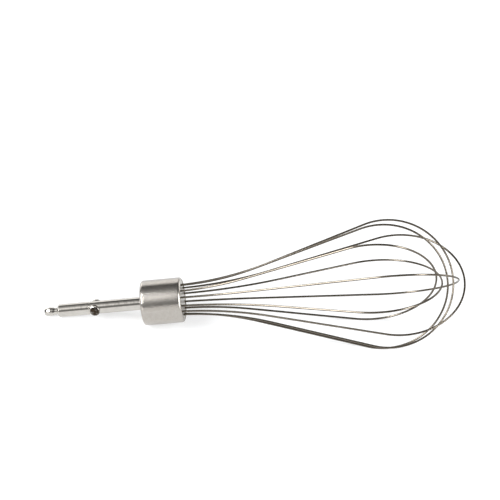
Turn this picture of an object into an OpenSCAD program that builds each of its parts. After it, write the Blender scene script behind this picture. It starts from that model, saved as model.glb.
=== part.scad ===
// Whisk attachment for a hand mixer: a steel drive shaft with a catch nub and two drive lugs,
// a round collar that holds the wires, and six nested wire loops that cross at the tip.
// The whisk lies on its side as it comes to rest on a table, with +Z up.
// The origin is on the shaft's axis, halfway along the plain pilot length outside the lugs.

/* [Shaft] */
// Diameter of the shaft
shaft_d = 6.35; // [5.5:0.05:8]
// Length of plain shank between the collar and the end shoulder
shank_len = 42; // [36:0.5:60]
// Chamfer on the end shoulder
shoulder_chamfer = 0.7; // [0.3:0.1:1.2]
// Diameter of the neck behind the catch nub
neck_d = 3.2; // [2.4:0.1:4]
// Length of the neck
neck_len = 1.6; // [1:0.1:4]
// Largest diameter of the catch nub
nub_d = 4.25; // [4.1:0.05:5.4]
// Length of the catch nub
nub_len = 5; // [4:0.1:8]
// Diameter of the blunt face at the nub's end
nub_face_d = 3.2; // [2:0.1:3.6]

/* [Drive lugs] */
// Diameter of each drive lug
lug_d = 5; // [3.5:0.1:6]
// Distance over the two lugs' domed ends
lug_span = 9.2; // [8.4:0.1:11]
// Distance from the collar's back to the middle of the lugs
lug_place = 23.4; // [12:0.1:30]
// Turn of the lugs about the shaft, from the first loop's even place
lug_turn = 7; // [0:1:30]
// Width of the shallow relief groove between the lugs and the pilot
relief_len = 0.6; // [0.6:0.1:2]
// Depth of the relief groove
relief_depth = 0.2; // [0.2:0.05:0.5]

/* [Collar] */
// Outer diameter of the collar
collar_d = 22; // [20:0.5:30]
// Length of the collar
collar_len = 20; // [17:0.5:30]
// Thickness of the collar's wall and back
collar_wall = 1.5; // [1:0.1:2.5]
// Rounding of the collar's two outer rims
collar_round = 1.4; // [0.5:0.1:1.4]
// Depth of the wire plate below the front rim
plate_recess = 0.3; // [0:0.1:1]
// Thickness of the drilled wire plate
plate_t = 1.6; // [1:0.1:3]
// Play between the wire plate and the collar, on the radius
plate_play = 0.05; // [0.02:0.01:0.2]

/* [Shaft anchor] */
// Distance across the flats of the shaft's six-sided flange
flange_af = 11; // [9:0.5:11.5]
// Thickness of the flange
flange_t = 3; // [2:0.5:4]
// Length of shaft past the flange, inside the core
stub_len = 7; // [4:0.5:8]

/* [Wires] */
// Diameter of the wire
wire_d = 1; // [0.8:0.05:1.4]
// Diameter of the circle on which the wires leave the collar
pitch_d = 14.7; // [14:0.1:16]
// Angle by which each wire spreads from the axis where it leaves the collar
splay = 2; // [0:0.5:5]
// Length of wire held inside the collar
root_len = 14; // [8:0.5:15]
// Play round each wire where it passes the plate, on the radius
wire_play = 0.15; // [0.05:0.05:0.3]
// Distance from the collar's front to the middle of the legs' outward bends
bend_at = 20; // [10:0.5:30]
// Share of that distance for each loop, going round the axis, as the wires are set by hand
bend_share = [1.2, 1.08, 1.1, 0.92, 0.8, 0.85]; // [0.7:0.01:1.3]
// Radius of the round end of every loop
belly_r = 31.25; // [24:0.25:40]
// Distance from the collar's front to the tip of the longest loop
reach = 136.5; // [120:0.5:180]
// Distance between one loop's tip and the next, inwards
reach_step = 2.7; // [2:0.05:4]
// Place of each loop from the longest inwards, going round the axis
loop_rank = [4, 0, 2, 3, 5, 1]; // [0:1:5]
// Turn of each loop about the axis, past its even spacing, for the same reason
loop_turn = [2.1, -1, -0.5, -4.5, 3.5, 0.4]; // [-5:0.1:5]
// Lean of each loop in its own plane, for the same reason
loop_lean = [-0.4, -0.2, -0.5, 0.5, -1.6, 0.7]; // [-2:0.1:2]
// Droop of the whole cage of wires against the collar, towards the table
cage_droop = 1.6; // [0:0.1:3]

/* [Hidden] */
$fn = 64;
loops = 6;
wire_sides = 12;
flare_steps = 5;
end_steps = 36;
shaft_r = shaft_d / 2;
collar_r = collar_d / 2;
mouth_r = collar_r - collar_wall;
pitch_r = pitch_d / 2;
wire_r = wire_d / 2;
// Places along the axis, counted from the collar's front face
collar_back = -collar_len;
back_wall = collar_back + collar_wall;
plate_front = -plate_recess;
plate_back = plate_front - plate_t;
shoulder = collar_back - shank_len;
lug_mid = collar_back - lug_place;
pilot_end = shoulder + shoulder_chamfer;
relief_end = lug_mid - lug_d / 2;
pilot_start = relief_end - relief_len;
pilot_mid = (pilot_end + pilot_start) / 2;
nub_end = shoulder - neck_len - nub_len;
nub_widest = 0.55;
// The nub's outline: one arc from its face to its widest place and one from there to the neck
nub_front = nub_len * nub_widest;
nub_back = nub_len - nub_front;
nub_front_r = arc_r(nub_front, (nub_d - nub_face_d) / 2);
nub_back_r = arc_r(nub_back, (nub_d - neck_d) / 2);
flange_corner_r = flange_af / 2 / cos(30);
overshoot = 1;

// Radius of an arc that runs a length along the axis while it drops from level by a height
function arc_r(run, drop) = (run * run + drop * drop) / (2 * drop);

// Angle of one loop round the axis
function loop_angle(i) = 180 / loops * i + loop_turn[i];

// Place along the axis of the middle of a loop's round end
function end_mid(i) = reach - reach_step * loop_rank[i] - belly_r;

// Distance from the collar's front to the middle of a loop's bends
function bend_mid(i) = bend_at * bend_share[i];

// Slope of the straight run, which leaves the middle of the bend and touches the round end
function leg_slope(i) =
    let (run = [end_mid(i) - bend_mid(i) * cos(splay), -pitch_r - bend_mid(i) * sin(splay)])
    atan2(run.y, run.x) + asin(belly_r / norm(run));

// How far below the middle of the collar's mouth a loop reaches when it is rolled and tilted
function loop_sag(i, roll, tilt) =
    let (a = loop_angle(i) + roll, lean = loop_lean[i])
    wire_r + belly_r * sqrt(pow(sin(tilt), 2) + pow(cos(tilt) * cos(a), 2))
        - end_mid(i) * (cos(lean) * sin(tilt) + sin(lean) * cos(tilt) * cos(a));

// The same for the lowest of the collar's back rim, the shoulder's edge and the nub's front arc
function handle_sag(tilt) =
    max(collar_round + (collar_r - collar_round) * cos(tilt) + (collar_len - collar_round) * sin(tilt),
        shaft_r * cos(tilt) - pilot_end * sin(tilt),
        nub_front_r + (nub_d / 2 - nub_front_r) * cos(tilt) - (nub_end + nub_front) * sin(tilt));

// Tilt at which the lowest wire and the collar or the shaft touch the table, by halving
function settled_tilt(roll, low = 0, high = 40, steps = 24) =
    let (mid = (low + high) / 2, sag = max([for (i = [0:loops - 1]) loop_sag(i, roll, mid - cage_droop)]))
    steps == 0 ? mid
        : sag > handle_sag(mid) ? settled_tilt(roll, mid, high, steps - 1)
        : settled_tilt(roll, low, mid, steps - 1);

// Roll at which the fourth and fifth loops both touch the table, by halving
function settled_roll(low = 45, high = 90, steps = 24) =
    let (mid = (low + high) / 2, tilt = settled_tilt(mid) - cage_droop)
    steps == 0 ? mid
        : loop_sag(3, mid, tilt) > loop_sag(4, mid, tilt) ? settled_roll(low, mid, steps - 1)
        : settled_roll(mid, high, steps - 1);

rest_roll = settled_roll();
rest_tilt = settled_tilt(rest_roll);

// Turns the whisk from its own axis, along X, to the way it lies on the table
module at_rest() {
    rotate([0, -rest_tilt, 0])
        rotate([rest_roll, 0, 0])
            translate([-pilot_mid, 0, 0])
                children();
}

// Tips the cage of wires down against the collar, about the middle of the collar's mouth
module in_cage() {
    rotate([-rest_roll, 0, 0])
        rotate([0, cage_droop, 0])
            rotate([rest_roll, 0, 0])
                children();
}

// A round bar along the axis between two places
module bar(from, to, r) {
    translate([from, 0, 0])
        rotate([0, 90, 0])
            cylinder(h = to - from, r = r);
}

// Puts children on both legs of a loop, where they leave the collar, with Z along the wire
module at_legs(i) {
    in_cage()
        rotate([loop_angle(i), 0, 0])
            rotate([0, -loop_lean[i], 0])
                for (side = [0, 1])
                    mirror([0, 0, side])
                        translate([0, 0, pitch_r])
                            rotate([0, 90 - splay, 0])
                                children();
}

// Half outline of the neck and nub: a barrel of two arcs on a plain neck
module nub_outline() {
    intersection() {
        translate([nub_d / 2 - nub_front_r, nub_front])
            circle(r = nub_front_r, $fn = 180);
        square([nub_d, nub_front]);
    }
    intersection() {
        translate([nub_d / 2 - nub_back_r, nub_front])
            circle(r = nub_back_r, $fn = 180);
        translate([0, nub_front])
            square([nub_d, nub_back]);
    }
    translate([0, nub_len])
        square([neck_d / 2, neck_len]);
}

// The drive lug pair: one round boss across the shaft with domed ends
module lugs() {
    translate([lug_mid, 0, 0])
        rotate([lug_turn, 0, 0])
            intersection() {
                cylinder(h = lug_span, d = lug_d, center = true);
                sphere(d = lug_span);
            }
}

module drive_shaft() {
    color("silver")
        at_rest() {
            bar(pilot_end, pilot_start, shaft_r);
            bar(pilot_start, relief_end, shaft_r - relief_depth);
            bar(relief_end, back_wall, shaft_r);
            translate([shoulder, 0, 0])
                rotate([0, 90, 0])
                    cylinder(h = shoulder_chamfer, r1 = shaft_r - shoulder_chamfer, r2 = shaft_r);
            translate([nub_end, 0, 0])
                rotate([0, 90, 0])
                    rotate_extrude()
                        nub_outline();
            lugs();
            translate([back_wall, 0, 0])
                rotate([0, 90, 0])
                    cylinder(h = flange_t, r = flange_corner_r, $fn = 6);
            bar(back_wall + flange_t, back_wall + flange_t + stub_len, shaft_r);
        }
}

// Half outline of the collar: a cup with rounded outer rims
module collar_outline() {
    difference() {
        union() {
            translate([0, collar_round])
                square([collar_r, collar_len - 2 * collar_round]);
            square([collar_r - collar_round, collar_len]);
            for (z = [collar_round, collar_len - collar_round])
                translate([collar_r - collar_round, z])
                    circle(r = collar_round);
        }
        square([shaft_r, collar_wall]);
        translate([0, collar_wall])
            square([mouth_r, collar_len]);
    }
}

module collar() {
    color("lightgray")
        at_rest()
            translate([collar_back, 0, 0])
                rotate([0, 90, 0])
                    rotate_extrude()
                        collar_outline();
}

module wire_plate() {
    color("gainsboro")
        at_rest()
            difference() {
                bar(plate_back, plate_front, mouth_r - plate_play);
                for (i = [0:loops - 1])
                    at_legs(i)
                        translate([0, 0, -root_len])
                            cylinder(h = root_len + overshoot, r = wire_r + wire_play);
            }
}

module core() {
    color("dimgray")
        at_rest()
            difference() {
                bar(back_wall, plate_back, mouth_r);
                translate([back_wall, 0, 0])
                    rotate([0, 90, 0])
                        cylinder(h = 2 * flange_t, r = flange_corner_r, center = true, $fn = 6);
                bar(back_wall, back_wall + flange_t + stub_len, shaft_r);
                for (i = [0:loops - 1])
                    at_legs(i)
                        translate([0, 0, -root_len])
                            cylinder(h = root_len, r = wire_r);
            }
}

// Middle of the wire at each station of one leg, outwards, with the angle of its outer side
function leg_stations(i) =
    let (slope = leg_slope(i), flare_r = bend_mid(i) / tan((slope - splay) / 2))
    concat(
        [[-root_len * cos(splay), pitch_r - root_len * sin(splay), 90 + splay]],
        [for (step = [0:flare_steps])
            let (bend = splay + (slope - splay) * step / flare_steps)
            [flare_r * (sin(bend) - sin(splay)), pitch_r + flare_r * (cos(splay) - cos(bend)), 90 + bend]]);

// The same round the end of the loop, from the top of the upper leg to that of the lower leg
function end_stations(i) =
    let (start = 90 + leg_slope(i))
    [for (step = [0:end_steps])
        let (turn = start * (1 - 2 * step / end_steps))
        [end_mid(i) + belly_r * cos(turn), belly_r * sin(turn), turn]];

// All stations of a loop, out along one leg and back along the other
function loop_stations(i) =
    let (leg = leg_stations(i), last = len(leg) - 1)
    concat(leg, end_stations(i), [for (k = [last:-1:0]) [leg[k].x, -leg[k].y, -leg[k].z]]);

// A round wire swept along stations that lie in one plane
module swept_wire(stations) {
    last = len(stations) - 1;
    points = [for (s = stations, side = [0:wire_sides - 1])
        let (turn = 360 * side / wire_sides, out = wire_r * cos(turn))
        [s.x + out * cos(s.z), wire_r * sin(turn), s.y + out * sin(s.z)]];
    walls = [for (k = [0:last - 1], side = [0:wire_sides - 1])
        let (here = k * wire_sides, next = (side + 1) % wire_sides)
        [here + side, here + wire_sides + side, here + wire_sides + next, here + next]];
    start_cap = [[for (side = [0:wire_sides - 1]) side]];
    end_cap = [[for (side = [wire_sides - 1:-1:0]) last * wire_sides + side]];
    polyhedron(points, concat(walls, start_cap, end_cap), convexity = 6);
}

// One loop: a held root, a flare, a straight run and a round end, then back the same way
module wire_loop(i) {
    color("gray")
        at_rest()
            in_cage()
                rotate([loop_angle(i), 0, 0])
                    rotate([0, -loop_lean[i], 0])
                        swept_wire(loop_stations(i));
}

drive_shaft();
collar();
wire_plate();
core();
wire_loop(0);  // wire_loop_1
wire_loop(1);  // wire_loop_2
wire_loop(2);  // wire_loop_3
wire_loop(3);  // wire_loop_4
wire_loop(4);  // wire_loop_5
wire_loop(5);  // wire_loop_6
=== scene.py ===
"""Studio scene of a hand mixer whisk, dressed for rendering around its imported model.

The whisk lies on a white table. Its own axis is called the stalk here: it starts at the
collar's front face and runs out to the tip of the wire loops. Sizes are in millimetres along
and out from the stalk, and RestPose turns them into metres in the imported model's frame.
"""

import logging
import math
from dataclasses import dataclass
from enum import Enum
from typing import Sequence

import bpy
import numpy as np
from mathutils import Matrix, Vector


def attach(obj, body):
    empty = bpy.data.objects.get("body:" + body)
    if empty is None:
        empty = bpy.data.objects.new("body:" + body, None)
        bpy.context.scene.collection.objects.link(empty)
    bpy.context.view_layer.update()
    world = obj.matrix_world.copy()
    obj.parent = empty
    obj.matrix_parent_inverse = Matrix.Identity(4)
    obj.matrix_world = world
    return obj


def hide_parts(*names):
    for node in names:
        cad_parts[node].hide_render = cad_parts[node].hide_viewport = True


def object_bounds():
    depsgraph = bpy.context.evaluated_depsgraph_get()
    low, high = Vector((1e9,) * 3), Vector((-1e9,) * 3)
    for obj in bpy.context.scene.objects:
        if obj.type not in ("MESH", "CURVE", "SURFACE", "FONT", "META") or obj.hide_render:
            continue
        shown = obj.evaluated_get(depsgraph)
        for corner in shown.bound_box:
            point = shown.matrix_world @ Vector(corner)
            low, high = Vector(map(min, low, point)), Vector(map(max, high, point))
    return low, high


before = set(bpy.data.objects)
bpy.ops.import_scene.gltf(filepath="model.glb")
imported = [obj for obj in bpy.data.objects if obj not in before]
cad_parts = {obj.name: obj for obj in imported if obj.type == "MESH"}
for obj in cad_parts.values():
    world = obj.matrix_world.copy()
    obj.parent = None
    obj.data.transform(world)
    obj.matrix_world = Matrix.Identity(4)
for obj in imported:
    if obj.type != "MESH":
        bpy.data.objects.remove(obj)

log = logging.getLogger("whisk")
CAD_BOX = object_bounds()
MM = 0.001

# Point marks that finishes read: the place on the straight wire, and how much wear and
# painted shade a spot takes
DRAWN = "drawn"
WEAR_AND_SHADE = "wear"
# Turn in degrees that makes a corner sharp, and how far from it, in millimetres, the points lie
# that keep it crisp
SHARP_TURN = 25.0
CORNER_GAP = 0.04
# Values between which one noise, and the mean of two, mostly vary
NOISE_SPAN = (0.3, 0.7)
MEAN_SPAN = (0.35, 0.65)
# A colour ramp holds values up to 1, so it holds the room's levels as shares of this one
TOP_LEVEL = 2.0
WHITE = (1.0, 1.0, 1.0, 1.0)

Colour = tuple[float, float, float]
Triple = tuple[float, float, float]
Stops = tuple[tuple[float, float], ...]
Socket = tuple[bpy.types.Node, str | int]


# Placing

def about(axis: str, angle: float) -> np.ndarray:
    """Rotation about one of the stalk's own axes.

    Args:
        axis: "x" or "y".
        angle: the turn, in degrees.

    Returns:
        The 3 by 3 matrix, for columns.
    """
    c, s = math.cos(math.radians(angle)), math.sin(math.radians(angle))
    rows = {"x": [[1, 0, 0], [0, c, -s], [0, s, c]], "y": [[c, 0, s], [0, 1, 0], [-s, 0, c]]}
    return np.array(rows[axis])


@dataclass(frozen=True)
class RestPose:
    """How the whisk lies on the table, in degrees and millimetres.

    Args:
        tilt: rise of the stalk towards the tip.
        roll: turn of the whisk about its stalk.
        pilot_mid: place of the frame's origin along the stalk.
        droop: how far the wire cage hangs down from the stalk, about the middle of the mouth.
    """

    tilt: float = 10.54451
    roll: float = 68.59499
    pilot_mid: float = -53.9
    droop: float = 1.6

    def turn(self) -> np.ndarray:
        """Rotation from the stalk's own axes to the table: a roll about X, then a rise about Y."""
        return about("y", -self.tilt) @ about("x", self.roll)

    def sink(self, points: np.ndarray) -> np.ndarray:
        """Tips points of the cage down by the droop, in the stalk's own axes."""
        tip = about("x", -self.roll) @ about("y", self.droop) @ about("x", self.roll)
        return points @ tip.T

    def place(self, points: np.ndarray) -> np.ndarray:
        """Moves points from the stalk's axes, in millimetres, to the frame, in metres.

        Args:
            points: array whose last axis holds x along the stalk, y and z.

        Returns:
            Array of the same shape, in metres.
        """
        return (points - [self.pilot_mid, 0, 0]) @ self.turn().T * MM


REST = RestPose()


# Meshes

def new_piece(name: str, points: np.ndarray, corners: np.ndarray, sizes: np.ndarray,
              marks: dict[str, np.ndarray] | None = None) -> bpy.types.Object:
    """Makes an object with smooth faces from plain arrays.

    Args:
        name: the piece's name.
        points: array (n, 3) in metres.
        corners: point numbers of all the faces, one face after another.
        sizes: how many corners each face has.
        marks: point marks by name: arrays (n, 1) of numbers or (n, 3) of vectors.

    Returns:
        The new object, linked to the scene.
    """
    starts = np.concatenate([[0], np.cumsum(sizes)[:-1]])
    mesh = bpy.data.meshes.new(name)
    mesh.vertices.add(len(points))
    mesh.vertices.foreach_set("co", points.astype(np.float32).ravel())
    mesh.loops.add(len(corners))
    mesh.loops.foreach_set("vertex_index", corners.astype(np.int32))
    mesh.polygons.add(len(sizes))
    mesh.polygons.foreach_set("loop_start", starts.astype(np.int32))
    mesh.polygons.foreach_set("use_smooth", np.ones(len(sizes), bool))
    mesh.update(calc_edges=True)
    for mark, values in (marks or {}).items():
        kind, field = ("FLOAT_VECTOR", "vector") if values.shape[1] == 3 else ("FLOAT", "value")
        layer = mesh.attributes.new(mark, kind, "POINT")
        layer.data.foreach_set(field, values.astype(np.float32).ravel())
    mesh.validate()
    piece = bpy.data.objects.new(name, mesh)
    bpy.context.scene.collection.objects.link(piece)
    return piece


def tube_piece(name: str, rings: np.ndarray, marks: dict[str, np.ndarray]) -> bpy.types.Object:
    """Makes a closed tube from rings of points, with a single pole point at each end.

    Point k * n + j is point j of ring k. Quad faces join ring k to ring k + 1 round the tube,
    and fans of triangles join the first and last rings to their own middles.

    Args:
        name: the piece's name.
        rings: array (rings, points, 3) in metres; points go round so that faces point outwards.
        marks: point marks by name: arrays (rings, points) of numbers or (rings, points, 3) of
            vectors. The pole points take the mean of their rings.

    Returns:
        The new object, linked to the scene, with smooth faces.
    """
    count, sides = rings.shape[:2]
    points = np.vstack([rings.reshape(-1, 3), rings[0].mean(0), rings[-1].mean(0)])
    k, j = np.meshgrid(np.arange(count - 1), np.arange(sides), indexing="ij")
    here, nxt = k * sides + j, k * sides + (j + 1) % sides
    quads = np.stack([here, nxt, nxt + sides, here + sides], -1).reshape(-1, 4)
    j = np.arange(sides)
    after = (j + 1) % sides
    tail = (count - 1) * sides
    first = np.stack([np.full(sides, count * sides), after, j], -1)
    last = np.stack([np.full(sides, count * sides + 1), tail + j, tail + after], -1)
    corners = np.concatenate([quads.ravel(), first.ravel(), last.ravel()])
    sizes = np.concatenate([np.full(len(quads), 4), np.full(2 * sides, 3)])
    flat = {mark: values.reshape(count * sides, -1) for mark, values in marks.items()}
    whole = {mark: np.vstack([v, v[:sides].mean(0), v[-sides:].mean(0)])
             for mark, v in flat.items()}
    return new_piece(name, points, corners, sizes, whole)


def ring_piece(name: str, rings: np.ndarray) -> bpy.types.Object:
    """Makes a ring-shaped piece from the rings of its section, closed both ways with quads.

    Args:
        name: the piece's name.
        rings: array (points of the section, points round, 3) in metres.

    Returns:
        The new object, linked to the scene, with smooth faces.
    """
    count, sides = rings.shape[:2]
    k, j = np.meshgrid(np.arange(count) * sides, np.arange(sides), indexing="ij")
    ahead, after = (k + sides) % (count * sides), (j + 1) % sides
    quads = np.stack([k + j, k + after, ahead + after, ahead + j], -1).reshape(-1, 4)
    return new_piece(name, rings.reshape(-1, 3), quads.ravel(), np.full(len(quads), 4))


def join(name: str, parts: Sequence[bpy.types.Object]) -> bpy.types.Object:
    """Joins loose parts of one physical piece into one object.

    Args:
        name: the joined piece's name.
        parts: the parts; the first one stays.

    Returns:
        The joined piece.
    """
    chosen = {"active_object": parts[0], "selected_editable_objects": list(parts)}
    with bpy.context.temp_override(**chosen):
        bpy.ops.object.join()
    parts[0].name = name
    return parts[0]


# Outlines

def revolve(profile: np.ndarray, sides: int) -> np.ndarray:
    """Rings of a turned shape: point (x, r) at angle a goes to (x, r sin a, r cos a).

    Args:
        profile: array (n, 2) of place along the stalk and radius, from the back to the front.
        sides: points round each ring.

    Returns:
        Array (n, sides, 3) in the stalk's axes, turning so that faces point outwards.
    """
    a = -2 * np.pi * np.arange(sides) / sides
    x, r = profile[:, :1], profile[:, 1:]
    return np.stack([np.broadcast_to(x, (len(profile), sides)), r * np.sin(a), r * np.cos(a)], -1)


def arc(centre: Sequence[float], radius: float, start: float, end: float,
        steps: int) -> np.ndarray:
    """Points on an arc: centre plus radius times (cos a, sin a), for a from start to end.

    Args:
        centre: middle of the arc as (x, r).
        radius: its radius.
        start: first angle in degrees.
        end: last angle in degrees.
        steps: number of spans.

    Returns:
        Array (steps + 1, 2).
    """
    a = np.radians(np.linspace(start, end, steps + 1))
    return np.stack([centre[0] + radius * np.cos(a), centre[1] + radius * np.sin(a)], -1)


def sharpen(profile: np.ndarray) -> np.ndarray:
    """Adds a point just before and after each sharp corner, so that smooth shading stays flat.

    A corner is sharp where the profile's direction turns by more than SHARP_TURN. The added
    points lie CORNER_GAP from it, or a third of the way to the next point if that is less. The
    first and last points lie on flat ends and stay as they are.

    Args:
        profile: array (n, 2).

    Returns:
        The longer profile.
    """
    step = np.diff(profile, axis=0)
    length = np.linalg.norm(step, axis=1)
    way = step / length[:, None]
    gap = np.minimum(CORNER_GAP, length / 3)
    turn = np.degrees(np.arccos(np.clip((way[:-1] * way[1:]).sum(1), -1, 1)))
    out = [profile[0]]
    for i in range(1, len(profile) - 1):
        if turn[i - 1] > SHARP_TURN:
            out += [profile[i] - way[i - 1] * gap[i - 1], profile[i], profile[i] + way[i] * gap[i]]
        else:
            out.append(profile[i])
    out.append(profile[-1])
    return np.vstack(out)


# Finishes

class Nodes:
    """A short way to write a material's or the world's node tree."""

    def __init__(self, tree: bpy.types.NodeTree) -> None:
        """Keeps the tree and removes the nodes that it starts with."""
        self.tree = tree
        tree.nodes.clear()

    def add(self, kind: str, inputs: dict[str | int, object] | None = None,
            **settings: object) -> bpy.types.Node:
        """Adds a node, sets its properties, and links or sets its inputs.

        Args:
            kind: the node's type.
            inputs: socket name or number to a value, or to a (node, socket) pair to link from.
            **settings: properties of the node.

        Returns:
            The new node.
        """
        node = self.tree.nodes.new(kind)
        for key, value in settings.items():
            setattr(node, key, value)
        for key, value in (inputs or {}).items():
            if isinstance(value, tuple) and isinstance(value[0], bpy.types.Node):
                self.tree.links.new(value[0].outputs[value[1]], node.inputs[key])
            else:
                node.inputs[key].default_value = value
        return node

    def maths(self, operation: str, first: Socket | float, second: Socket | float) -> Socket:
        """Adds one step of arithmetic on two sockets or numbers and gives its result."""
        return self.add("ShaderNodeMath", {0: first, 1: second}, operation=operation), 0

    def noise(self, place: Socket, scale: float, detail: float, roughness: float = 0.5) -> Socket:
        """Adds a noise texture over a place and gives its value."""
        return self.add("ShaderNodeTexNoise", {"Vector": place, "Scale": scale, "Detail": detail,
                                               "Roughness": roughness}), "Fac"

    def mark(self, name: str, output: str) -> Socket:
        """Adds a reader of one of the piece's point marks and gives one of its outputs."""
        return self.add("ShaderNodeAttribute", attribute_type="GEOMETRY",
                        attribute_name=name), output

    def ramp(self, factor: Socket, stops: Sequence[tuple[float, Colour]]) -> Socket:
        """Adds a colour ramp that blends evenly between its stops.

        Args:
            factor: the socket that drives it.
            stops: pairs of place and colour, in rising order.

        Returns:
            Its colour.
        """
        node = self.add("ShaderNodeValToRGB", {"Fac": factor})
        elements = node.color_ramp.elements
        while len(elements) < len(stops):
            elements.new(0.5)
        for element, (place, colour) in zip(elements, stops):
            element.position = place
            element.color = (*colour, 1)
        return node, "Color"

    def metal(self, colour: Socket, cloud: Socket, rough: tuple[float, float], relief: Socket,
              height: float) -> None:
        """Ends a material as bare metal whose roughness and bump follow noise.

        Args:
            colour: its colour.
            cloud: noise that is high where the metal is smoother.
            rough: its roughness in the smoother and in the rougher places.
            relief: noise that its skin rises and falls with.
            height: how far the skin rises, in metres.
        """
        low, high = NOISE_SPAN
        share = self.add("ShaderNodeMapRange", {"Value": cloud, "From Min": low, "From Max": high,
                                                "To Min": rough[1], "To Max": rough[0]})
        bump = self.add("ShaderNodeBump", {"Height": relief, "Strength": 1.0, "Distance": height})
        body = self.add("ShaderNodeBsdfPrincipled", {
            "Base Color": colour, "Metallic": 1.0, "Roughness": (share, "Result"),
            "Normal": (bump, "Normal")})
        self.add("ShaderNodeOutputMaterial", {"Surface": (body, 0)})


def blank(name: str) -> tuple[bpy.types.Material, Nodes]:
    """Makes an empty material.

    Args:
        name: the material's name.

    Returns:
        The material, and its nodes.
    """
    material = bpy.data.materials.new(name)
    material.use_nodes = True
    return material, Nodes(material.node_tree)


@dataclass(frozen=True)
class SteelFinish:
    """A bare steel surface with cloudy colour, uneven polish and a slightly wavy skin.

    Args:
        name: the material's name.
        light: linear colour of the cleaner patches.
        dark: linear colour of the duller patches.
        rough: roughness of the cleaner and of the duller patches.
        cloud: size of the patches, in cells per metre.
        wave: size of the skin's waves, in cells per metre.
        wave_height: height of the waves, in metres.
        worn_and_shaded: linear colour where the piece's WEAR_AND_SHADE mark is 1, partly wear and
            partly painted shade that stands for a dark reflection, or None where nothing is
            marked.
        patches: how much of that colour the mark takes on, by the value of the cloud.
    """

    name: str
    light: Colour
    dark: Colour
    rough: tuple[float, float]
    cloud: float
    wave: float
    wave_height: float
    worn_and_shaded: Colour | None = None
    patches: Stops = ((0.5, 1.0), (0.66, 0.5))

    def rubbed_and_shaded(self, n: Nodes, colour: Socket, cloud: Socket) -> Socket:
        """Mixes the dark colour of wear and painted shade in, in patches, where the piece's mark
        says so.

        Args:
            n: the material's nodes.
            colour: colour of the metal outside the marked patches.
            cloud: noise that the patches follow.

        Returns:
            The mixed colour.
        """
        wear = n.mark(WEAR_AND_SHADE, "Fac")
        patch = n.ramp(cloud, [(value, (part,) * 3) for value, part in self.patches])
        share = n.maths("MULTIPLY", wear, patch)
        return n.add("ShaderNodeMixRGB", {"Fac": share, "Color1": colour,
                                          "Color2": (*self.worn_and_shaded, 1)}), "Color"

    def build(self) -> bpy.types.Material:
        """Makes the material: colour, roughness and bump follow noise in the piece's space.

        Returns:
            The new material.
        """
        material, n = blank(self.name)
        place = n.add("ShaderNodeTexCoord"), "Object"
        cloud = n.noise(place, self.cloud, detail=3.0, roughness=0.55)
        wave = n.noise(place, self.wave, detail=2.0)
        low, high = NOISE_SPAN
        colour = n.ramp(cloud, [(low, self.dark), (high, self.light)])
        # Dark patches where marked: partly wear, partly painted shade for a dark reflection
        if self.worn_and_shaded:
            colour = self.rubbed_and_shaded(n, colour, cloud)
        n.metal(colour, cloud, self.rough, wave, self.wave_height)
        return material


@dataclass(frozen=True)
class DrawnFinish:
    """Drawn wire: fine streaks that follow the wire through its bends, and duller stretches.

    Args:
        name: the material's name.
        light: linear colour of the cleaner streaks.
        dark: linear colour of the duller streaks.
        rough: roughness of the brighter and of the duller stretches.
        streaks: cells per metre of the streaks, along and across the wire.
        stretches: cells per metre of the duller stretches, along the wire.
        streak_height: height of the streaks, in metres.
    """

    name: str
    light: Colour
    dark: Colour
    rough: tuple[float, float]
    streaks: tuple[float, float] = (40.0, 3500.0)
    stretches: float = 45.0
    streak_height: float = 0.000003

    def build(self) -> bpy.types.Material:
        """Makes the material: colour, roughness and bump follow noise on the straight wire.

        Returns:
            The new material.
        """
        material, n = blank(self.name)
        place = n.mark(DRAWN, "Vector")
        along, across = self.streaks
        fine = n.add("ShaderNodeMapping", {"Vector": place, "Scale": (along, across, across)})
        slow = n.add("ShaderNodeMapping", {"Vector": place, "Scale": (self.stretches,) * 3})
        streak = n.noise((fine, 0), 1.0, detail=2.0)
        stretch = n.noise((slow, 0), 1.0, detail=2.0)
        mean = n.maths("MULTIPLY", n.maths("ADD", streak, stretch), 0.5)
        low, high = MEAN_SPAN
        colour = n.ramp(mean, [(low, self.dark), (high, self.light)])
        n.metal(colour, stretch, self.rough, streak, self.streak_height)
        return material


@dataclass(frozen=True)
class FillerFinish:
    """The dull dark filler inside the collar, with a slight mottle.

    Args:
        name: the material's name.
        colour: its linear colour.
        shade: brightness of the darker spots, as a share of that colour.
        mottle: size of the spots, in cells per metre.
        roughness: its roughness.
    """

    name: str
    colour: Colour
    shade: float = 0.6
    mottle: float = 900.0
    roughness: float = 0.7

    def build(self) -> bpy.types.Material:
        """Makes the material: a rough dielectric whose brightness follows noise.

        Returns:
            The new material.
        """
        material, n = blank(self.name)
        place = n.add("ShaderNodeTexCoord"), "Object"
        low, high = NOISE_SPAN
        dark = tuple(self.shade * c for c in self.colour)
        spots = n.noise(place, self.mottle, detail=3.0)
        colour = n.ramp(spots, [(low, dark), (high, self.colour)])
        body = n.add("ShaderNodeBsdfPrincipled", {"Base Color": colour,
                                                  "Roughness": self.roughness})
        n.add("ShaderNodeOutputMaterial", {"Surface": (body, 0)})
        return material


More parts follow.
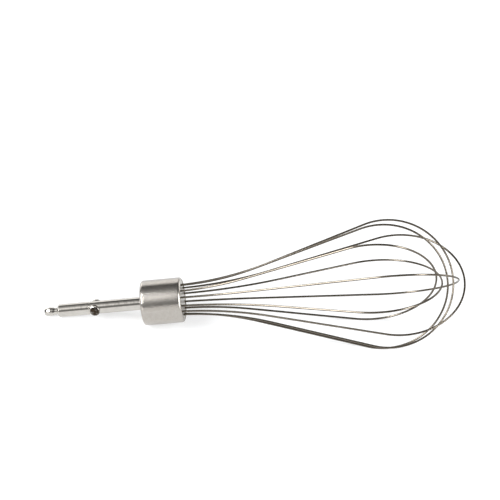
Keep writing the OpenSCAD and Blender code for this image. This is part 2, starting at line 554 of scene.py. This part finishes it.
class Finish(Enum):
    """The finishes on this whisk, each named for what it covers."""

    SHAFT = SteelFinish(
        "shaft_bright_steel", light=(0.69, 0.66, 0.61), dark=(0.62, 0.59, 0.545),
        rough=(0.03, 0.07), cloud=350, wave=300, wave_height=0.00006,
        # Near-black brown for the lug domes: partly wear, partly painted shade for a dark
        # reflection
        worn_and_shaded=(0.045, 0.032, 0.021))
    COLLAR = SteelFinish(
        "collar_satin_steel", light=(0.563, 0.527, 0.483), dark=(0.512, 0.479, 0.437),
        rough=(0.17, 0.24), cloud=700, wave=1200, wave_height=0.00006)
    PLATE = SteelFinish(
        "plate_plain_steel", light=(0.8, 0.78, 0.74), dark=(0.7, 0.68, 0.64),
        rough=(0.3, 0.38), cloud=600, wave=900, wave_height=0.00002)
    WIRE = DrawnFinish(
        "wire_drawn_steel", light=(0.205, 0.178, 0.144), dark=(0.15, 0.128, 0.101),
        rough=(0.14, 0.23))
    CORE = FillerFinish("core_filler", colour=(0.03, 0.03, 0.03))

    def material(self) -> bpy.types.Material:
        """The finish's material, made the first time that it is asked for."""
        return bpy.data.materials.get(self.value.name) or self.value.build()


def dress(piece: bpy.types.Object, finish: Finish, slot: str, *nodes: str) -> None:
    """Gives a new piece its finish and its body, and hides the solids that it stands for.

    Args:
        piece: the piece.
        finish: what covers it.
        slot: not used.
        *nodes: the CAD nodes that it replaces.
    """
    piece.data.materials.append(finish.material())
    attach(piece, "root")
    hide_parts(*nodes)
    log.info("%s: %d faces, for %s", piece.name, len(piece.data.polygons), ", ".join(nodes))


# The whisk

@dataclass
class Stalk:
    """The drive shaft, from the catch nub to the stub inside the collar, with its two lugs.

    Args:
        diameter: thickness of the shaft.
        shoulder: place of the end shoulder along the stalk.
        chamfer: chamfer on the shoulder.
        neck_d: thickness of the neck behind the nub.
        neck_len: its length.
        nub_d: largest thickness of the nub.
        nub_len: its length.
        nub_face_d: width of its blunt face.
        nub_widest: share of its length at which it is widest.
        nub_steps: spans of its outline, before and after its widest place.
        lug_d: thickness of each lug.
        lug_span: distance over the two domed ends.
        lug_mid: place of the lugs along the stalk.
        lug_turn: their turn about the stalk, in degrees.
        lug_root: height above the stalk at which each lug starts, inside the shaft.
        lug_edge: height of the soft edge round its dome.
        lug_sides: points round it.
        dome_steps: spans of its dome, from the edge inwards.
        dome_pole: angle of the dome's last ring off its middle, in degrees.
        wear_and_shade_start: how far below the dome's edge the dark patch of wear and painted
            shade begins.
        wear_and_shade_band: height over which that patch comes in.
        relief_len: width of the relief groove beside the lugs.
        relief_depth: its depth.
        flange_back: place of the six-sided flange along the stalk.
        flange_len: its thickness.
        flange_across: its width across the flats.
        flange_sides: points round it.
        flange_ends: shares of its radius at which its flat ends have a ring besides the rim.
        inner_end: place where the stub ends, inside the core.
        pole_r: radius of the rings next to the two end points.
        sides: points round the shaft.
    """

    diameter: float = 6.35
    shoulder: float = -62.0
    chamfer: float = 0.7
    neck_d: float = 3.2
    neck_len: float = 1.6
    nub_d: float = 4.25
    nub_len: float = 5.0
    nub_face_d: float = 3.2
    nub_widest: float = 0.55
    nub_steps: tuple[int, int] = (20, 16)
    lug_d: float = 5.0
    lug_span: float = 9.2
    lug_mid: float = -43.4
    lug_turn: float = 7.0
    lug_root: float = 1.0
    lug_edge: float = 0.12
    lug_sides: int = 64
    dome_steps: int = 13
    dome_pole: float = 0.5
    wear_and_shade_start: float = 0.2
    wear_and_shade_band: float = 0.5
    relief_len: float = 0.6
    relief_depth: float = 0.2
    flange_back: float = -18.5
    flange_len: float = 3.0
    flange_across: float = 11.0
    flange_sides: int = 96
    flange_ends: tuple[float, float] = (0.05, 0.992)
    inner_end: float = -8.5
    pole_r: float = 0.1
    sides: int = 160

    def nub_profile(self) -> np.ndarray:
        """Outline of the nub: two arcs that meet at its widest place.

        An arc that drops by d over a length l has the radius (l squared + d squared) / 2 d, and
        starts arcsin(l / radius) away from its highest point.

        Returns:
            Array (n, 2) of place along the stalk and radius, from the nub's face to the neck.
        """
        tip = self.shoulder - self.neck_len - self.nub_len
        widest = tip + self.nub_len * self.nub_widest
        top = self.nub_d / 2
        front, front_drop = widest - tip, (self.nub_d - self.nub_face_d) / 2
        back, back_drop = self.nub_len * (1 - self.nub_widest), (self.nub_d - self.neck_d) / 2
        front_r = (front ** 2 + front_drop ** 2) / (2 * front_drop)
        back_r = (back ** 2 + back_drop ** 2) / (2 * back_drop)
        front_turn = math.degrees(math.asin(front / front_r))
        back_turn = math.degrees(math.asin(back / back_r))
        front_steps, back_steps = self.nub_steps
        fore = arc((widest, top - front_r), front_r, 90 + front_turn, 90, front_steps)
        aft = arc((widest, top - back_r), back_r, 90, 90 - back_turn, back_steps)
        return np.vstack([fore, aft[1:]])

    def profile(self) -> np.ndarray:
        """Outline of the whole shaft, from the nub inwards.

        Returns:
            Array (n, 2) of place along the stalk and radius.
        """
        r, relief = self.diameter / 2, self.diameter / 2 - self.relief_depth
        relief_end = self.lug_mid - self.lug_d / 2
        relief_start = relief_end - self.relief_len
        nub = self.nub_profile()
        rest = np.array([
            [self.shoulder, self.neck_d / 2],
            [self.shoulder, r - self.chamfer],
            [self.shoulder + self.chamfer, r],
            [relief_start, r],
            [relief_start, relief],
            [relief_end, relief],
            [relief_end, r],
            [self.inner_end, r],
            [self.inner_end, self.pole_r]])
        return sharpen(np.vstack([[[nub[0, 0], self.pole_r]], nub, rest]))

    def flange_rings(self) -> np.ndarray:
        """Rings of the six-sided flange inside the collar.

        Each ring is the section of a hexagon, with a corner at the top of the stalk's frame: at
        angle a its radius is half the width across the flats divided by cos of the angle to the
        nearest flat's middle. The ends repeat that section a little in from each edge, so that
        they shade flat, and close on a small one.

        Returns:
            Array (rings, points, 3) in the stalk's axes.
        """
        a = -2 * np.pi * np.arange(self.flange_sides) / self.flange_sides
        off = np.mod(a, np.pi / 3) - np.pi / 6
        radius = self.flange_across / 2 / np.cos(off)
        back, front = self.flange_back, self.flange_back + self.flange_len
        pole, inset = self.flange_ends
        ends = np.array([
            [back, pole], [back, inset], [back, 1], [back + CORNER_GAP, 1],
            [front - CORNER_GAP, 1], [front, 1], [front, inset], [front, pole]])
        r = ends[:, 1:] * radius
        x = np.broadcast_to(ends[:, :1], r.shape)
        return np.stack([x, r * np.sin(a), r * np.cos(a)], -1)

    def lug_rings(self, side: int) -> np.ndarray:
        """Rings of one lug: a round boss from inside the shaft out to a domed end.

        Ring k lies at height z and radius q across the shaft, where (z, q) runs up the boss's
        side, round its edge and over the dome, a sphere about the stalk.

        Args:
            side: 1 for the lug at the top of the stalk's own frame, -1 for the one below.

        Returns:
            Array (rings, points, 3) in the stalk's axes.
        """
        ball, r = self.lug_span / 2, self.lug_d / 2
        edge = math.degrees(math.asin(r / ball))
        over = np.radians(np.linspace(edge, self.dome_pole, self.dome_steps + 1))
        outline = np.vstack([
            [[self.lug_root, r], [ball * math.cos(over[0]) - self.lug_edge, r]],
            np.stack([ball * np.cos(over), ball * np.sin(over)], -1)])
        a = 2 * np.pi * np.arange(self.lug_sides) / self.lug_sides * side
        z, q = outline[:, :1] * side, outline[:, 1:]
        along, out = self.lug_mid + q * np.cos(a), q * np.sin(a)
        return np.stack([along, out, np.broadcast_to(z, out.shape)], -1)

    def lug_wear_and_shade(self, rings: np.ndarray) -> np.ndarray:
        """How much wear and painted shade a lug takes: 0 up to just below its dome, then rising to
        1 over the band. The darkened dome is partly wear and partly a painted dark reflection.

        Args:
            rings: the lug's rings in the stalk's axes.

        Returns:
            Array (rings, points).
        """
        rim = math.sqrt((self.lug_span / 2) ** 2 - (self.lug_d / 2) ** 2)
        above = np.abs(rings[..., 2]) - rim + self.wear_and_shade_start
        return np.clip(above / self.wear_and_shade_band, 0, 1)

    def build(self) -> None:
        """Makes the shaft, its flange and its lugs as one piece."""
        parts = []
        turned = revolve(self.profile(), self.sides)
        for name, rings in (("shaft_turned", turned), ("flange", self.flange_rings())):
            unmarked = np.zeros(rings.shape[:2])
            parts.append(tube_piece(name, REST.place(rings), {WEAR_AND_SHADE: unmarked}))
        for side, name in ((1, "lug_upper"), (-1, "lug_lower")):
            rings = self.lug_rings(side)
            posed = rings @ about("x", self.lug_turn).T
            # The lug domes take the dark mark: partly wear, partly painted shade for a dark
            # reflection
            parts.append(tube_piece(name, REST.place(posed), {WEAR_AND_SHADE: self.lug_wear_and_shade(rings)}))
        dress(join("shaft", parts), Finish.SHAFT, "shaft", "drive_shaft")


@dataclass
class Collar:
    """The drawn steel cup, with its rounded rims and open mouth.

    Args:
        diameter: its outer width.
        length: its length, back from the front face.
        wall: thickness of its wall and back.
        rim: rounding of its two outer rims.
        hole_d: width of the hole that the shaft comes through.
        rim_steps: spans of each rim's rounding.
        wall_steps: spans of the wall between the rims.
        sides: points round it.
    """

    diameter: float = 22.0
    length: float = 20.0
    wall: float = 1.5
    rim: float = 1.4
    hole_d: float = 6.35
    rim_steps: int = 14
    wall_steps: int = 11
    sides: int = 256

    def profile(self) -> np.ndarray:
        """Outline of the cup's section: hole, back, outer wall, front rim, and the bore.

        Returns:
            Array (n, 2) of place along the stalk and radius.
        """
        r, back, rim = self.diameter / 2, -self.length, self.rim
        hole, bore = self.hole_d / 2, r - self.wall
        floor = back + self.wall
        side = np.linspace(back + rim, -rim, self.wall_steps + 1)[1:-1]
        outline = np.vstack([
            [[floor, hole], [back, hole]],
            arc((back + rim, r - rim), rim, 180, 90, self.rim_steps),
            np.stack([side, np.full(len(side), r)], -1),
            arc((-rim, r - rim), rim, 90, 0, self.rim_steps),
            [[0, bore], [floor, bore]]])
        return sharpen(outline)

    def build(self) -> None:
        """Makes the collar as a closed ring: its section is carried right round the stalk."""
        rings = revolve(self.profile(), self.sides)
        collar = ring_piece("collar_cup", REST.place(rings))
        dress(collar, Finish.COLLAR, "collar", "collar")


@dataclass
class WireCage:
    """The six nested loops. Each leaves the collar, flares, runs straight and turns round.

    Args:
        wire_d: thickness of the wire.
        pitch_d: width of the circle on which the wires leave the collar.
        splay: angle by which they spread from the stalk there, in degrees.
        root_len: length of wire inside the collar.
        bend_at: distance from the collar's front to the middle of the flares.
        belly_r: radius of the round ends.
        reach: distance from the collar's front to the tip of the longest loop.
        reach_step: distance between one tip and the next.
        spacing: angle between one loop and the next about the stalk, in degrees.
        rank: place of each loop, from the longest inwards.
        bend_share: each loop's own share of bend_at.
        turn: each loop's turn off its even place about the stalk, in degrees.
        lean: each loop's lean in its own plane, in degrees.
        sides: points round the wire.
        flare_steps: spans of each flare.
        run_steps: spans of each straight run.
        end_steps: spans of each round end.
        mark_step: how much further along the straight wire each loop's marks start.
    """

    wire_d: float = 1.0
    pitch_d: float = 14.7
    splay: float = 2.0
    root_len: float = 14.0
    bend_at: float = 20.0
    belly_r: float = 31.25
    reach: float = 136.5
    reach_step: float = 2.7
    spacing: float = 30.0
    rank: tuple[int, ...] = (4, 0, 2, 3, 5, 1)
    bend_share: tuple[float, ...] = (1.2, 1.08, 1.1, 0.92, 0.8, 0.85)
    turn: tuple[float, ...] = (2.1, -1.0, -0.5, -4.5, 3.5, 0.4)
    lean: tuple[float, ...] = (-0.4, -0.2, -0.5, 0.5, -1.6, 0.7)
    sides: int = 24
    flare_steps: int = 24
    run_steps: int = 13
    end_steps: int = 120
    mark_step: float = 400.0

    def stations(self, i: int) -> np.ndarray:
        """Middle of the wire and angle of its outer side, as (along, out, radians).

        The leg bends from the splay to the slope of the straight run on a flare whose tangents
        meet at the loop's own share of bend_at. The run touches the round end, so its slope is
        the angle to the end's middle plus arcsin(end radius / distance to it). The other leg is
        the mirror image.

        Args:
            i: number of the loop, from 0.

        Returns:
            Array (stations, 3) for one loop.
        """
        splay, pitch = math.radians(self.splay), self.pitch_d / 2
        cos_s, sin_s = math.cos(splay), math.sin(splay)
        middle = self.reach - self.reach_step * self.rank[i] - self.belly_r
        bend_mid = self.bend_at * self.bend_share[i]
        run = np.array([middle - bend_mid * cos_s, -pitch - bend_mid * sin_s])
        slope = math.atan2(run[1], run[0]) + math.asin(self.belly_r / np.hypot(*run))
        flare_r = bend_mid / math.tan((slope - splay) / 2)
        bend = np.linspace(splay, slope, self.flare_steps + 1)
        turn = np.linspace(1, -1, self.end_steps + 1) * (math.pi / 2 + slope)
        share = np.linspace(0, 1, self.run_steps + 1)[1:-1, None]
        root = [-self.root_len * cos_s, pitch - self.root_len * sin_s, math.pi / 2 + splay]
        flare = np.stack([
            flare_r * (np.sin(bend) - sin_s), pitch + flare_r * (cos_s - np.cos(bend)),
            math.pi / 2 + bend], -1)
        end = np.stack([
            middle + self.belly_r * np.cos(turn), self.belly_r * np.sin(turn), turn], -1)
        straight = flare[-1] + (end[0] - flare[-1]) * share
        leg = np.vstack([root, flare, straight])
        return np.vstack([leg, end, leg[::-1] * [1, -1, -1]])

    def circle(self) -> tuple[np.ndarray, np.ndarray]:
        """The wire's section: (r cos b, r sin b), with b going round the wire.

        Returns:
            Two arrays (sides), in millimetres.
        """
        b = 2 * np.pi * np.arange(self.sides) / self.sides
        r = self.wire_d / 2
        return r * np.cos(b), r * np.sin(b)

    def loop_rings(self, i: int) -> np.ndarray:
        """Rings of one loop: the wire's section carried along its stations.

        A ring lies with r cos b out along the station's outer side and r sin b across the loop's
        plane. The loop then leans in its own plane, turns about the stalk to its place, and
        droops with the cage.

        Args:
            i: number of the loop, from 0.

        Returns:
            Array (stations, sides, 3) in the stalk's axes.
        """
        s = self.stations(i)
        out, over = self.circle()
        x = s[:, :1] + out * np.cos(s[:, 2:])
        z = s[:, 1:2] + out * np.sin(s[:, 2:])
        y = np.broadcast_to(-over, x.shape)
        pose = about("x", self.spacing * i + self.turn[i]) @ about("y", -self.lean[i])
        return REST.sink(np.stack([x, y, z], -1) @ pose.T)

    def straight_rings(self, i: int) -> np.ndarray:
        """The same rings on the straight wire: length so far along x, in metres.

        Loops start at different lengths, so that no two of them carry the same marks.

        Args:
            i: number of the loop, from 0.

        Returns:
            Array (stations, sides, 3) in metres.
        """
        step = np.linalg.norm(np.diff(self.stations(i)[:, :2], axis=0), axis=1)
        length = np.concatenate([[0], np.cumsum(step)]) + self.mark_step * i
        out, over = self.circle()
        return np.stack(np.broadcast_arrays(length[:, None], out, over), -1) * MM

    def build(self) -> None:
        """Makes the six loops, each as its own piece."""
        for i in range(len(self.rank)):
            rings, marks = self.loop_rings(i), {DRAWN: self.straight_rings(i)}
            piece = tube_piece(f"wire_{i + 1}", REST.place(rings), marks)
            dress(piece, Finish.WIRE, "wire", f"wire_loop_{i + 1}")


def dress_kept_nodes() -> None:
    """Gives the two CAD nodes that stay, the wire plate and the core, their finishes."""
    for node, finish in (("wire_plate", Finish.PLATE), ("core", Finish.CORE)):
        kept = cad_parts[node]
        kept.data.materials.clear()
        kept.data.materials.append(finish.material())
        log.info("%s keeps its solid, in %s", node, finish.value.name)


# The studio

@dataclass(frozen=True)
class SoftBox:
    """A soft lamp, placed by its direction from the whisk.

    Args:
        name: the lamp's name.
        sideways: degrees out of the plane across the stalk, towards the tip if positive.
        height: degrees up from the viewer's side, within that plane.
        distance: metres from the whisk.
        size: width along the stalk and length across it, in metres.
        radiance: brightness of its face, where 1 is white.
        tint: colour of its light.
    """

    name: str
    sideways: float
    height: float
    distance: float
    size: tuple[float, float]
    radiance: float
    tint: Colour = (0.95, 0.975, 1.0)

    def build(self, target: Vector) -> None:
        """Makes the lamp as an area light that faces the target.

        Its power is radiance times pi times its area, as for a face that shines evenly.

        Args:
            target: point that the lamp faces.
        """
        side, up = math.radians(self.sideways), math.radians(self.height)
        level = math.cos(side)
        z = Vector((math.sin(side), -level * math.cos(up), level * math.sin(up))).normalized()
        x = (Vector((1, 0, 0)) - z * z.x).normalized()
        turn = Matrix((x, z.cross(x), z)).transposed().to_4x4()
        data = bpy.data.lights.new(self.name, "AREA")
        data.shape = "RECTANGLE"
        data.color = self.tint
        data.size, data.size_y = self.size
        data.energy = self.radiance * math.pi * self.size[0] * self.size[1]
        lamp = bpy.data.objects.new(self.name, data)
        lamp.matrix_world = Matrix.Translation(target + z * self.distance) @ turn
        bpy.context.scene.collection.objects.link(lamp)


def levels(stops: Stops, start: float, span: float) -> list[tuple[float, Colour]]:
    """Turns stops of brightness into stops of a colour ramp, as greys below TOP_LEVEL.

    Args:
        stops: pairs of place and level.
        start: the place that the ramp's 0 stands for.
        span: how far from there its 1 lies.

    Returns:
        Pairs of place on the ramp and grey.
    """
    return [((place - start) / span, (level / TOP_LEVEL,) * 3) for place, level in stops]


@dataclass
class Studio:
    """White table, soft lamps at both sides, the room they stand in, and the camera.

    Args:
        eye: place of the camera, in metres.
        right: direction of the picture's right side.
        up: direction of the picture's top.
        forward: direction that the camera looks in.
        lens: its focal length, in millimetres.
        sensor: width of its picture, in millimetres.
        clip: nearest and furthest distance that it sees, in metres.
        lamps: the soft lamps.
        aim: place along the stalk that the lamps face, in millimetres.
        room: brightness of the room by height, in degrees up from the viewer's side and over to
            the far side: a pale front, a dark gap, a pale ceiling that fades, a dark stretch,
            and the white backdrop.
        aside: how much of that brightness there is by the X part of a direction: the pale wall
            on the handle's side, the plain middle, the dark gap and the wall on the tip's side.
        table_half: half the table's width, in metres.
        table_grey: how much light the table gives back.
        eye_lift: the table's own glow as the camera sees it.
        metal_lift: its own glow as the metal mirrors it.
    """

    eye: Triple = (0.05465417, -0.53046288, 0.51480974)
    right: Triple = (0.99816959, -0.00058957, 0.06047409)
    up: Triple = (-0.04480071, 0.66449652, 0.74594723)
    forward: Triple = (0.04062461, 0.74729113, -0.66325381)
    lens: float = 108.0
    sensor: float = 36.0
    clip: tuple[float, float] = (0.01, 50.0)
    lamps: tuple[SoftBox, ...] = (
        SoftBox("softbox_handle_side", sideways=-40.5, height=67, distance=1.5,
                size=(0.46, 1.2), radiance=15.0),
        SoftBox("softbox_tip_side", sideways=43.5, height=48, distance=1.6,
                size=(0.33, 1.6), radiance=12.0),
    )
    aim: float = 40.0
    room: Stops = (
        (0, 1.25), (10, 1.4), (17, 0.8), (23, 0.24), (37, 0.32), (50, 0.5), (58, 0.9),
        (64, 1.02), (74, 0.88), (83, 0.6), (92, 0.38), (100, 0.3), (112, 0.22), (140, 0.09),
        (146, 1.12), (152, 1.7), (180, 1.7))
    aside: Stops = (
        (-0.85, 0.25), (-0.65, 0.9), (-0.45, 1.25), (-0.37, 1.25), (-0.31, 0.71), (0.05, 0.73),
        (0.2, 0.3), (0.5, 0.3), (0.62, 1.3))
    table_half: float = 6.0
    table_grey: float = 0.48
    eye_lift: float = 0.55
    metal_lift: float = 0.27

    def table(self) -> None:
        """Makes the white table, which glows a little to the eye and in the metal.

        Its diffuse part keeps the whisk's shadow.
        """
        low, half = CAD_BOX[0][2], self.table_half
        corners = [(-half, -half, low), (half, -half, low), (half, half, low), (-half, half, low)]
        mesh = bpy.data.meshes.new("table")
        mesh.from_pydata(corners, [], [(0, 1, 2, 3)])
        table = bpy.data.objects.new("table", mesh)
        bpy.context.scene.collection.objects.link(table)
        material, n = blank("table_white")
        ray = n.add("ShaderNodeLightPath")
        cloth = n.add("ShaderNodeBsdfDiffuse", {"Color": (*(self.table_grey,) * 3, 1)})
        seen = n.maths("MULTIPLY", (ray, "Is Camera Ray"), self.eye_lift)
        shone = n.maths("MULTIPLY", (ray, "Is Glossy Ray"), self.metal_lift)
        lift = n.maths("ADD", seen, shone)
        glow = n.add("ShaderNodeEmission", {"Color": WHITE, "Strength": lift})
        both = n.add("ShaderNodeAddShader", {0: (cloth, 0), 1: (glow, 0)})
        n.add("ShaderNodeOutputMaterial", {"Surface": (both, 0)})
        mesh.materials.append(material)

    def surroundings(self) -> None:
        """Makes the room: bands of light and dark by height above the table, seen in the metal.

        The height is the angle of a direction up from the viewer's side, atan2(z, -y), as a share
        of half a turn. The bands are shares of TOP_LEVEL, and so are the levels from side to side
        that they are multiplied by. The eye sees plain white instead.
        """
        world = bpy.data.worlds.new("room")
        world.use_nodes = True
        bpy.context.scene.world = world
        n = Nodes(world.node_tree)
        way = n.add("ShaderNodeTexCoord")
        parts = n.add("ShaderNodeSeparateXYZ", {"Vector": (way, "Generated")})
        nearer = n.maths("MULTIPLY", (parts, "Y"), -1.0)
        height = n.maths("ARCTAN2", (parts, "Z"), nearer)
        bands = n.ramp(n.maths("DIVIDE", height, math.pi), levels(self.room, start=0, span=180))
        across = n.add("ShaderNodeMapRange", {"Value": (parts, "X"), "From Min": -1.0,
                                              "From Max": 1.0})
        side = n.ramp((across, 0), levels(self.aside, start=-1, span=2))
        level = n.maths("MULTIPLY", side, TOP_LEVEL ** 2)
        room = n.add("ShaderNodeBackground", {"Color": bands, "Strength": level})
        white = n.add("ShaderNodeBackground", {"Color": WHITE, "Strength": 1.0})
        ray = n.add("ShaderNodeLightPath")
        seen = n.add("ShaderNodeMixShader", {0: (ray, "Is Camera Ray"), 1: (room, 0),
                                             2: (white, 0)})
        n.add("ShaderNodeOutputWorld", {"Surface": (seen, 0)})

    def camera(self) -> None:
        """Makes the camera where the photograph was taken from."""
        data = bpy.data.cameras.new("camera")
        data.lens = self.lens
        data.sensor_width = self.sensor
        data.sensor_fit = "HORIZONTAL"
        data.clip_start, data.clip_end = self.clip
        camera = bpy.data.objects.new("camera", data)
        backward = tuple(-v for v in self.forward)
        axes = Matrix((self.right, self.up, backward)).transposed().to_4x4()
        camera.matrix_world = Matrix.Translation(self.eye) @ axes
        bpy.context.scene.collection.objects.link(camera)
        bpy.context.scene.camera = camera

    def build(self) -> None:
        """Makes the whole studio and sets a plain view transform."""
        self.table()
        self.surroundings()
        target = Vector(REST.place(np.array([self.aim, 0.0, 0.0])))
        for lamp in self.lamps:
            lamp.build(target)
        self.camera()
        bpy.context.scene.view_settings.view_transform = "Standard"


def main() -> None:
    """Builds the whisk and its studio."""
    logging.basicConfig(level=logging.INFO, format="%(name)s: %(message)s")
    Stalk().build()
    Collar().build()
    WireCage().build()
    dress_kept_nodes()
    Studio().build()


if __name__ == "__main__":
    main()
